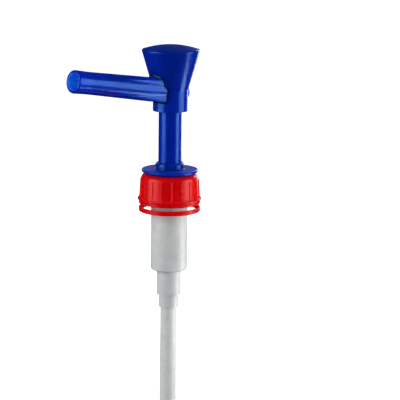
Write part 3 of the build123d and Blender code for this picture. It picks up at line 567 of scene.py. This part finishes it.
# %% The spring, wound where the frame's spring stands
SPRING_TURNS = 9
STEPS_PER_TURN = 48
OPENING_TURNS = 0.5
CLOSE_PITCH = 2.5 * MM
WIRE_RADIUS = 0.9 * MM
SPRING_SEAT = -76.1 * MM
SPRING_TOP = -14.7 * MM
SPRING_SLIP = 0.05 * MM
low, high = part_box("return_spring")
spring_length = SPRING_TOP - SPRING_SEAT
return_spring = grow("wound_return_spring", spring_tree, {
    "Turns": SPRING_TURNS, "Steps per turn": STEPS_PER_TURN, "Wire radius": WIRE_RADIUS,
    "Mean radius": (high.x - low.x) / 2 - WIRE_RADIUS,
    "Foot height": SPRING_SEAT + SPRING_SLIP + WIRE_RADIUS,
    "Rise": spring_length - 2 * (WIRE_RADIUS + SPRING_SLIP),
    "Close pitch": CLOSE_PITCH, "Opening turns": OPENING_TURNS,
})
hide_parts("return_spring")
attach(return_spring, "pump_body")
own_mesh(return_spring)

# %% [markdown]
# ## Where the spout leaves the head
# A moulder never leaves a sharp inner corner: steel cracks there and plastic tears, so the corner
# between spout and head has a small round. It follows the line where a slanting tube with a squared root
# meets a flared body. For each direction round the tube, the meeting point is found by halving, and an
# arc that touches both surfaces is laid in the corner. Closed at the back, the arcs make one ring.

# %% The surfaces of head and spout
spout_side = Vector((0, 1, 0))
spout_up = spout_side.cross(spout_way)
ROOT_RADIUS = 10.2 * MM
SOCKET_RADIUS = 15.05 * MM
RIM_RADIUS = 25.3 * MM
CONE_BOTTOM = 78.9 * MM
CONE_HEIGHT = 34.4 * MM
CONE_SLOPE = (RIM_RADIUS - SOCKET_RADIUS) / CONE_HEIGHT
SMALL_TURN = 0.01
BLOCK_START = 8.0 * MM
BLOCK_END = 70.0 * MM
BLOCK_HALF_SIZES = (Vector((9.6, 10.0)) * MM, Vector((6.6, 6.9)) * MM)
BLOCK_ROUND_SHARE = 0.28
BLOCK_ROUND = BLOCK_ROUND_SHARE * BLOCK_HALF_SIZES[1].y


def head_radius(height):
    """The head's outer radius at a height."""
    return SOCKET_RADIUS + max(height - CONE_BOTTOM, 0.0) * CONE_SLOPE


def head_normal(point):
    """The direction out of the head's surface."""
    outward = Vector((point.x, point.y, 0)).normalized()
    if point.z > CONE_BOTTOM:
        outward.z = -CONE_SLOPE
    return outward.normalized()


def onto_head(point, depth):
    """The point moved level with the head's surface, a depth inside it."""
    outward = Vector((point.x, point.y, 0)).normalized() * (head_radius(point.z) - depth)
    return Vector((outward.x, outward.y, point.z))


def root_reach(turn, distance):
    """How far the spout's root reaches in one direction: its tube, or its block where that is wider."""
    share = (distance - BLOCK_START) / (BLOCK_END - BLOCK_START)
    size = BLOCK_HALF_SIZES[0].lerp(BLOCK_HALF_SIZES[1], share)
    lead = Vector((abs(math.sin(turn)), abs(math.cos(turn))))
    reach = min(size.x / max(lead.x, SMALL_TURN), size.y / max(lead.y, SMALL_TURN))
    bend = size - Vector((BLOCK_ROUND, BLOCK_ROUND))
    if reach * lead.x > bend.x and reach * lead.y > bend.y:
        along = lead.dot(bend)
        reach = along + math.sqrt(along ** 2 - bend.length_squared + BLOCK_ROUND ** 2)
    return max(reach, ROOT_RADIUS)


def root_point(turn, distance):
    """A point on the spout's root, at a turn from its top and a distance from the pump's axis."""
    outward = spout_up * math.cos(turn) + spout_side * math.sin(turn)
    return spout_start + spout_way * distance + outward * root_reach(turn, distance)


print("slope of the head's cone:", round(CONE_SLOPE, 3))

# %% The round between spout and head
FOOT_ROUND = 1.8 * MM
ROUND_STEPS = 240
ARC_STEPS = 8
HALVINGS = 50
FARTHEST_CORNER = 40 * MM
SMALL_STEP = 1.0 * MM
ROUND_SINK = 0.05 * MM
ROUND_BACK = 0.4 * MM


def corner_ring(turn):
    """The section of the round in one direction about the spout."""
    near, far = 0.0, FARTHEST_CORNER
    for _ in range(HALVINGS):
        middle = (near + far) / 2
        point = root_point(turn, middle)
        inside = math.hypot(point.x, point.y) < head_radius(point.z)
        near, far = (middle, far) if inside else (near, middle)
    corner = root_point(turn, near)
    normal = head_normal(corner)
    around = root_point(turn + SMALL_TURN, near) - root_point(turn - SMALL_TURN, near)
    outward = around.cross(root_point(turn, near + SMALL_STEP) - corner).normalized()
    if outward.dot(corner - spout_start - spout_way * near) < 0:
        outward.negate()
    reach = FOOT_ROUND / (1 + normal.dot(outward))
    centre = corner + (normal + outward) * reach
    ring = []
    for step in range(ARC_STEPS + 1):
        share = step / ARC_STEPS
        ring.append(centre - (normal * (1 - share) + outward * share).normalized() * FOOT_ROUND)
    ring[0] = onto_head(ring[0], ROUND_SINK)
    ring[-1] = ring[-1] - outward * ROUND_SINK
    ring.append(corner - (normal + outward).normalized() * ROUND_BACK)
    return ring


def closed_ring(name, rings, material):
    """A mesh through a closed row of closed sections."""
    shape = bmesh.new()
    rows = [[shape.verts.new(point) for point in ring] for ring in rings]
    for row, following in zip(rows, rows[1:] + rows[:1]):
        for i in range(len(row)):
            j = (i + 1) % len(row)
            shape.faces.new((row[i], row[j], following[j], following[i])).smooth = True
    bmesh.ops.recalc_face_normals(shape, faces=shape.faces)
    mesh = bpy.data.meshes.new(name)
    shape.to_mesh(mesh)
    shape.free()
    mesh.materials.append(material)
    piece = bpy.data.objects.new(name, mesh)
    bpy.context.scene.collection.objects.link(piece)
    print(f"{name}: {len(mesh.polygons)} faces")
    return piece


spout_foot = closed_ring(
    "spout_foot_round",
    [corner_ring(2 * math.pi * step / ROUND_STEPS) for step in range(ROUND_STEPS)],
    blue_polypropylene)
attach(spout_foot, "plunger")

# %% [markdown]
# ## Mould seams
# Head and spout are moulded between two halves of steel that part along the plane of the spout. A hair
# of plastic creeps into the joint and stays as a fine ridge along the top and the underside of the
# spout, and up the head. The ridge follows a path, so a tree sweeps a small section along the points of
# that path. It is drawn 0.3 mm wide, a little wider than a real one, so that it shows.

# %% A tree that sweeps a ridge along a path
RIDGE_SIDES = 6
seam_tree = new_tree("mould_seam", {"Ridge radius": "Float"})
seam_given = add(seam_tree, "NodeGroupInput").outputs
path = add(seam_tree, "GeometryNodeMeshToCurve", links={0: seam_given["Geometry"]})
ridge = add(seam_tree, "GeometryNodeCurvePrimitiveCircle", {"Resolution": RIDGE_SIDES},
            {"Radius": seam_given["Ridge radius"]})
swept = add(seam_tree, "GeometryNodeCurveToMesh", {"Fill Caps": True},
            {"Curve": path.outputs[0], "Profile Curve": ridge.outputs[0]})
finish_tree(seam_tree, swept.outputs[0], blue_polypropylene)
print("nodes in the seam's tree:", len(seam_tree.nodes))

# %% The seams of head and spout
RIDGE_RADIUS = 0.15 * MM
SEAM_SINK = 0.05 * MM
UPPER_SEAM_START = 22.9 * MM
LOWER_SEAM_START = 19.2 * MM
HEAD_SEAM_ENDS = (61.0 * MM, 111.3 * MM)
PLUG_GAP = (69.1 * MM, 80.5 * MM)
SPOUT_GAP = (65.9 * MM, 93.1 * MM)
WAIST_RADIUS = 9.2 * MM
WAIST_END = 89.5 * MM
ROOT_END = 24.0 * MM
LIP_SHOULDER = 101.5 * MM
LIP_RADIUS = 9.55 * MM


def spout_radius(distance):
    """The spout's outer radius at a distance from the pump's axis."""
    if distance < ROOT_END:
        return ROOT_RADIUS
    if distance < WAIST_END:
        return ROOT_RADIUS + (WAIST_RADIUS - ROOT_RADIUS) * (distance - ROOT_END) / (WAIST_END - ROOT_END)
    return WAIST_RADIUS + (LIP_RADIUS - WAIST_RADIUS) * (distance - WAIST_END) / (LIP_SHOULDER - WAIST_END)


seam_points = []
seam_edges = []


def seam_run(points):
    """Adds one run of seam through these points."""
    first = len(seam_points)
    seam_points.extend(points)
    seam_edges.extend((first + i, first + i + 1) for i in range(len(points) - 1))


for side, start in ((1, UPPER_SEAM_START), (-1, LOWER_SEAM_START)):
    seam_run([spout_start + spout_way * d + spout_up * side * (spout_radius(d) - SEAM_SINK)
              for d in (start, ROOT_END, WAIST_END, LIP_SHOULDER) if d >= start])
for side, gap in ((1, PLUG_GAP), (-1, SPOUT_GAP)):
    for bottom, top in zip((HEAD_SEAM_ENDS[0], gap[1]), (gap[0], HEAD_SEAM_ENDS[1])):
        bend = [CONE_BOTTOM] if bottom < CONE_BOTTOM < top else []
        seam_run([Vector((side * (head_radius(z) - SEAM_SINK), 0, z)) for z in (bottom, *bend, top)])
mould_seam = grow("mould_seam", seam_tree, {"Ridge radius": RIDGE_RADIUS}, seam_points, seam_edges)
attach(mould_seam, "plunger")

# %% [markdown]
# ## Broken bridges of the tamper ring
# A new cap and its ring are joined by small bridges, which snap at the first opening. Their stubs stay
# on both edges of the gap. They repeat round a circle, so a tree sets one stub on each point of a circle
# and turns none of them, because a stub is round.

# %% A tree that sets stubs round a circle
STUB_SIDES = 10
STUB_TAPER = 0.55
stub_tree = new_tree("bridge_stubs", {
    "Count": "Int", "Circle radius": "Float", "Phase": "Float", "Upper edge": "Float",
    "Lower edge": "Float", "Stub height": "Float", "Stub radius": "Float",
})
stub_given = add(stub_tree, "NodeGroupInput").outputs
circle = add(stub_tree, "GeometryNodeMeshCircle",
             links={"Vertices": stub_given["Count"], "Radius": stub_given["Circle radius"]})
taper = add(stub_tree, "ShaderNodeMath", {"operation": "MULTIPLY", 1: STUB_TAPER},
            {0: stub_given["Stub radius"]})
stub = add(stub_tree, "GeometryNodeMeshCone", {"Vertices": STUB_SIDES},
           {"Radius Top": taper.outputs[0], "Radius Bottom": stub_given["Stub radius"],
            "Depth": stub_given["Stub height"]})
turned = add(stub_tree, "ShaderNodeCombineXYZ", links={"Z": stub_given["Phase"]})
rows = add(stub_tree, "GeometryNodeJoinGeometry")
for edge, flip in (("Upper edge", math.pi), ("Lower edge", 0.0)):
    level = add(stub_tree, "ShaderNodeCombineXYZ", links={"Z": stub_given[edge]})
    row = add(stub_tree, "GeometryNodeTransform",
              links={0: circle.outputs[0], "Translation": level.outputs[0], "Rotation": turned.outputs[0]})
    placed = add(stub_tree, "GeometryNodeInstanceOnPoints", {"Rotation": (flip, 0.0, 0.0)},
                 {"Points": row.outputs[0], "Instance": stub.outputs[0]})
    stub_tree.links.new(placed.outputs[0], rows.inputs[0])
finish_tree(stub_tree, rows.outputs[0], red_polyethylene)
print("nodes in the stubs' tree:", len(stub_tree.nodes))

# %% The stubs on cap and ring
STUB_COUNT = 18
STUB_PHASE = math.radians(14.5)
STUB_CIRCLE = 25.2 * MM
STUB_HEIGHT = 0.6 * MM
STUB_RADIUS = 0.5 * MM
STUB_SINK = 0.02 * MM
RING_TOP = -22.75 * MM
stubs = grow("bridge_stubs", stub_tree, {
    "Count": STUB_COUNT, "Circle radius": STUB_CIRCLE, "Phase": STUB_PHASE,
    "Upper edge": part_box("screw_cap")[0].z + STUB_SINK, "Lower edge": RING_TOP - STUB_SINK,
    "Stub height": STUB_HEIGHT, "Stub radius": STUB_RADIUS,
})
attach(stubs, "closure")

# %% [markdown]
# ## Floor, light and camera
# The pump is lit as a catalogue shot: two tall softboxes, left and right of the camera, draw a long
# light along each side of the round stem, and the space between them stays dark. A third one, narrower,
# does the same for the pump's back. A weak fill from the front and a panel behind lighten what the
# softboxes leave dark, and neither shows as a mirror image. The flared head slopes downwards, so a small
# card below it gives it its own line of light. Two more lights stand behind and reach one piece each:
# one shines through the spout's wall, and a low one glances off the collar's disc. The floor is plain
# and pale. It is left out of the pump's mirror images, which keeps the deep blue of the head, and the
# surround is white to the eye and dim to the pump for the same reason.

# %% Floor
FLOOR_HALF = 20.0
FLOOR_CORNERS = ((-1, -1), (1, -1), (1, 1), (-1, 1))
floor_height = cad_box[0][2]
floor_mesh = bpy.data.meshes.new("floor")
floor_mesh.from_pydata([(x * FLOOR_HALF, y * FLOOR_HALF, floor_height) for x, y in FLOOR_CORNERS],
                       [], [(0, 1, 2, 3)])
floor = bpy.data.objects.new("floor", floor_mesh)
bpy.context.scene.collection.objects.link(floor)
floor_paint, floor_tree, floor_shader, floor_place = new_finish("pale_floor")
floor_shader.inputs["Base Color"].default_value = linear("#F4F4F2")
floor_shader.inputs["Roughness"].default_value = 0.9
floor_shader.inputs["Emission Color"].default_value = linear("#FFFFFF")
distance = add(floor_tree, "ShaderNodeVectorMath", {"operation": "LENGTH"}, {0: floor_place})
whitening = add(floor_tree, "ShaderNodeMapRange",
                {"From Min": 0.3, "From Max": 0.9, "To Min": 0.5, "To Max": 1.0},
                {"Value": distance.outputs["Value"]})
floor_tree.links.new(whitening.outputs["Result"], floor_shader.inputs["Emission Strength"])
floor_mesh.materials.append(floor_paint)
floor.visible_glossy = False
floor.visible_diffuse = False
print("floor at", round(floor_height / MM, 1), "mm")

# %% Camera
AIM = Vector((0, 0, 45)) * MM
CAMERA_PLACE = Vector((-822.32, -996.24, 243.44)) * MM
PAN_DEGREES, TILT_DEGREES, ROLL_DEGREES = 1.148, 2.676, 0.615
FRAME_PIXELS = 400
FOCAL_PIXELS = 1523.9
SENSOR_MM = 36.0
ahead = (AIM - CAMERA_PLACE).normalized()
right = ahead.cross(Vector((0, 0, 1))).normalized()
up = right.cross(ahead)


def swing(first, second, degrees):
    """Two directions at right angles, both turned by the same angle in their own plane."""
    c, s = math.cos(math.radians(degrees)), math.sin(math.radians(degrees))
    return first * c + second * s, second * c - first * s


ahead, right = swing(ahead, right, PAN_DEGREES)
up, ahead = swing(up, ahead, TILT_DEGREES)
right, up = swing(right, up, ROLL_DEGREES)
camera_data = bpy.data.cameras.new("camera")
camera_data.sensor_fit = "HORIZONTAL"
camera_data.sensor_width = SENSOR_MM
camera_data.lens = FOCAL_PIXELS / FRAME_PIXELS * SENSOR_MM
camera_data.clip_end = 100.0
camera = bpy.data.objects.new("camera", camera_data)
camera.matrix_world = Matrix.LocRotScale(
    CAMERA_PLACE, Matrix((right, up, -ahead)).transposed().to_quaternion(), None)
bpy.context.scene.collection.objects.link(camera)
bpy.context.scene.camera = camera
print("lens:", round(camera_data.lens, 1), "mm")

# %% Lights
to_camera = Vector((CAMERA_PLACE.x, CAMERA_PLACE.y, 0)).normalized()
to_right = Vector((-to_camera.y, to_camera.x, 0))
LIT_POINT = Vector((0, 0, 80)) * MM


def softbox(name, turn, rise, distance, width, height, power):
    """A soft light that faces the pump's head, with its lengths in metres and its power in watts.

    Its turn is to the right of the camera's direction and its rise is up from level, both in degrees.
    """
    data = bpy.data.lights.new(name, "AREA")
    data.shape = "RECTANGLE"
    data.size, data.size_y = width, height
    data.energy = power
    light = bpy.data.objects.new(name, data)
    level = to_camera * math.cos(math.radians(turn)) + to_right * math.sin(math.radians(turn))
    way = level * math.cos(math.radians(rise)) + Vector((0, 0, math.sin(math.radians(rise))))
    light.location = LIT_POINT + way * distance
    light.rotation_euler = way.to_track_quat("Z", "Y").to_euler()
    light.visible_camera = False
    bpy.context.scene.collection.objects.link(light)
    return light


softbox("softbox_left", turn=-66, rise=11, distance=1.2, width=1.0, height=1.1, power=12.5)
softbox("softbox_right", turn=77, rise=6, distance=1.2, width=0.8, height=0.95, power=9.5)
softbox("softbox_behind", turn=152, rise=8, distance=1.2, width=0.5, height=0.9, power=4.0)
softbox("card_below", turn=91, rise=-40, distance=0.4, width=0.17, height=0.18, power=0.6)
front_fill = softbox("front_fill", turn=6, rise=14, distance=1.2, width=0.9, height=0.9, power=2.5)
panel = softbox("panel_behind", turn=180, rise=8, distance=1.0, width=1.4, height=1.0, power=4.0)
spout_glow = softbox("spout_glow", turn=180, rise=8, distance=1.0, width=1.4, height=1.0, power=34.0)
disc_glow = softbox("disc_glow", turn=180, rise=12, distance=1.0, width=1.4, height=0.6, power=1.8)
for light in (front_fill, panel, spout_glow):
    light.visible_glossy = False
for light, node in ((spout_glow, "spout"), (disc_glow, "collar")):
    receiver = bpy.data.collections.new("lit_by_" + light.name)
    receiver.objects.link(nodes[node])
    light.light_linking.receiver_collection = receiver

# %% The surround
world = bpy.data.worlds.new("surround")
bpy.context.scene.world = world
world.use_nodes = True
sky = world.node_tree
sky.nodes.clear()
ray = add(sky, "ShaderNodeLightPath").outputs
seen = add(sky, "ShaderNodeBackground", {"Color": linear("#FFFFFF"), "Strength": 1.0})
heading = add(sky, "ShaderNodeVectorMath", {"operation": "DOT_PRODUCT", 1: (*(-to_camera).xy, 0.0)},
              {0: add(sky, "ShaderNodeTexCoord").outputs["Generated"]})
glimmer = add(sky, "ShaderNodeMapRange",
              {"From Min": 0.95, "From Max": 0.985, "To Min": 0.01, "To Max": 0.15},
              {"Value": heading.outputs["Value"]})
mirrored = add(sky, "ShaderNodeBackground", {"Color": linear("#FFFFFF")},
               {"Strength": glimmer.outputs["Result"]})
soft = add(sky, "ShaderNodeBackground", {"Color": linear("#FFFFFF"), "Strength": 0.12})
lit = add(sky, "ShaderNodeMixShader",
          links={0: ray["Is Glossy Ray"], 1: soft.outputs[0], 2: mirrored.outputs[0]})
whole = add(sky, "ShaderNodeMixShader",
            links={0: ray["Is Camera Ray"], 1: lit.outputs[0], 2: seen.outputs[0]})
add(sky, "ShaderNodeOutputWorld", links={0: whole.outputs[0]})
bpy.context.scene.view_settings.view_transform = "Standard"
print("nodes in the surround:", len(sky.nodes))
